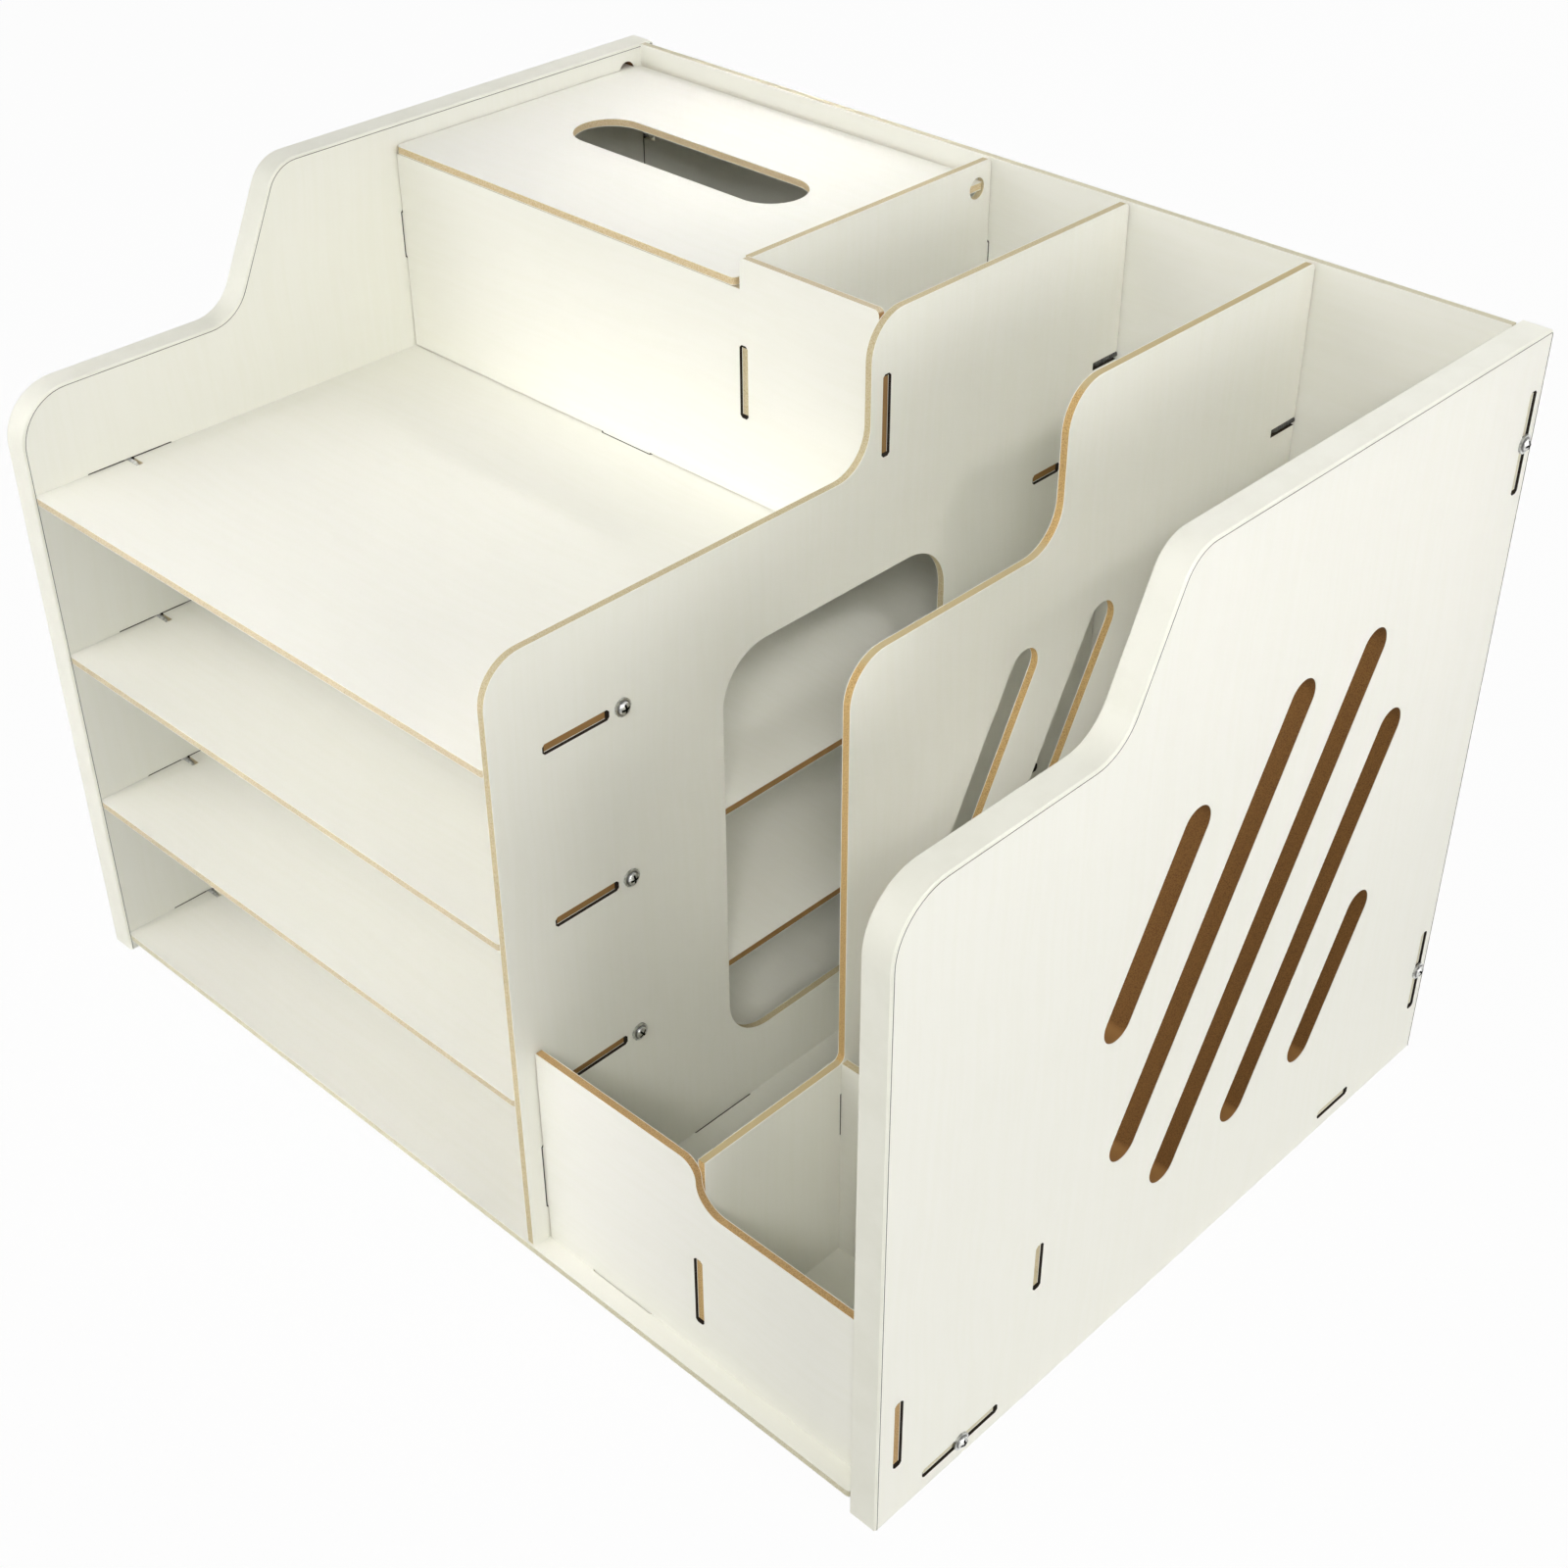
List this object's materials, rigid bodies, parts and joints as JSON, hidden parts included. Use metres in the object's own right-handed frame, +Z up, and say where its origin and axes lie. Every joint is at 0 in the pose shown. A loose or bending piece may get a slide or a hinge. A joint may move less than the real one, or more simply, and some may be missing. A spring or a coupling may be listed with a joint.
{
  "type": "desk organizer",
  "caption": "Free-standing desk organizer of thin laminated boards with open paper bays, file slots, a pen box and a tissue box under a hinged lid with a slot.",
  "frame": {"origin": "on the floor, at the middle of the footprint", "axes": "+X to the right seen from the front, -Y to the front, +Z up"},
  "size_m": [0.4244, 0.31, 0.3],
  "materials": {
    "side_board": "warm white laminated fibreboard with fine upright grain",
    "thin_board": "warm white laminate both sides, tan fibreboard on cut edges",
    "edge_band": "warm white satin edge band with eased corners",
    "screw_steel": "bright zinc plated steel"
  },
  "bodies": {
    "carcass": {"left_side_panel": "side_board", "right_side_panel": "side_board", "left_edge_band": "edge_band", "right_edge_band": "edge_band", "back_panel": "thin_board", "base_panel": "thin_board", "lower_shelf": "thin_board", "middle_shelf": "thin_board", "top_shelf": "thin_board", "center_divider": "thin_board", "file_divider": "thin_board", "tissue_front": "thin_board", "tissue_divider": "thin_board", "pen_box_front": "thin_board", "pen_box_rear": "thin_board", "left_shelf_screws": "screw_steel", "left_back_screws": "screw_steel", "right_base_screw": "screw_steel", "right_back_screws": "screw_steel", "center_shelf_screws": "screw_steel", "rear_divider_screws": "screw_steel"},
    "lid": {"tissue_lid": "thin_board"}
  },
  "joints": [
    {"name": "lid_hinge", "type": "hinge", "parent": "carcass", "child": "lid", "pos_m": [-0.107, 0.1395, 0.2905], "axis": [-1, 0, 0], "range_deg": [0, 118]}
  ]
}
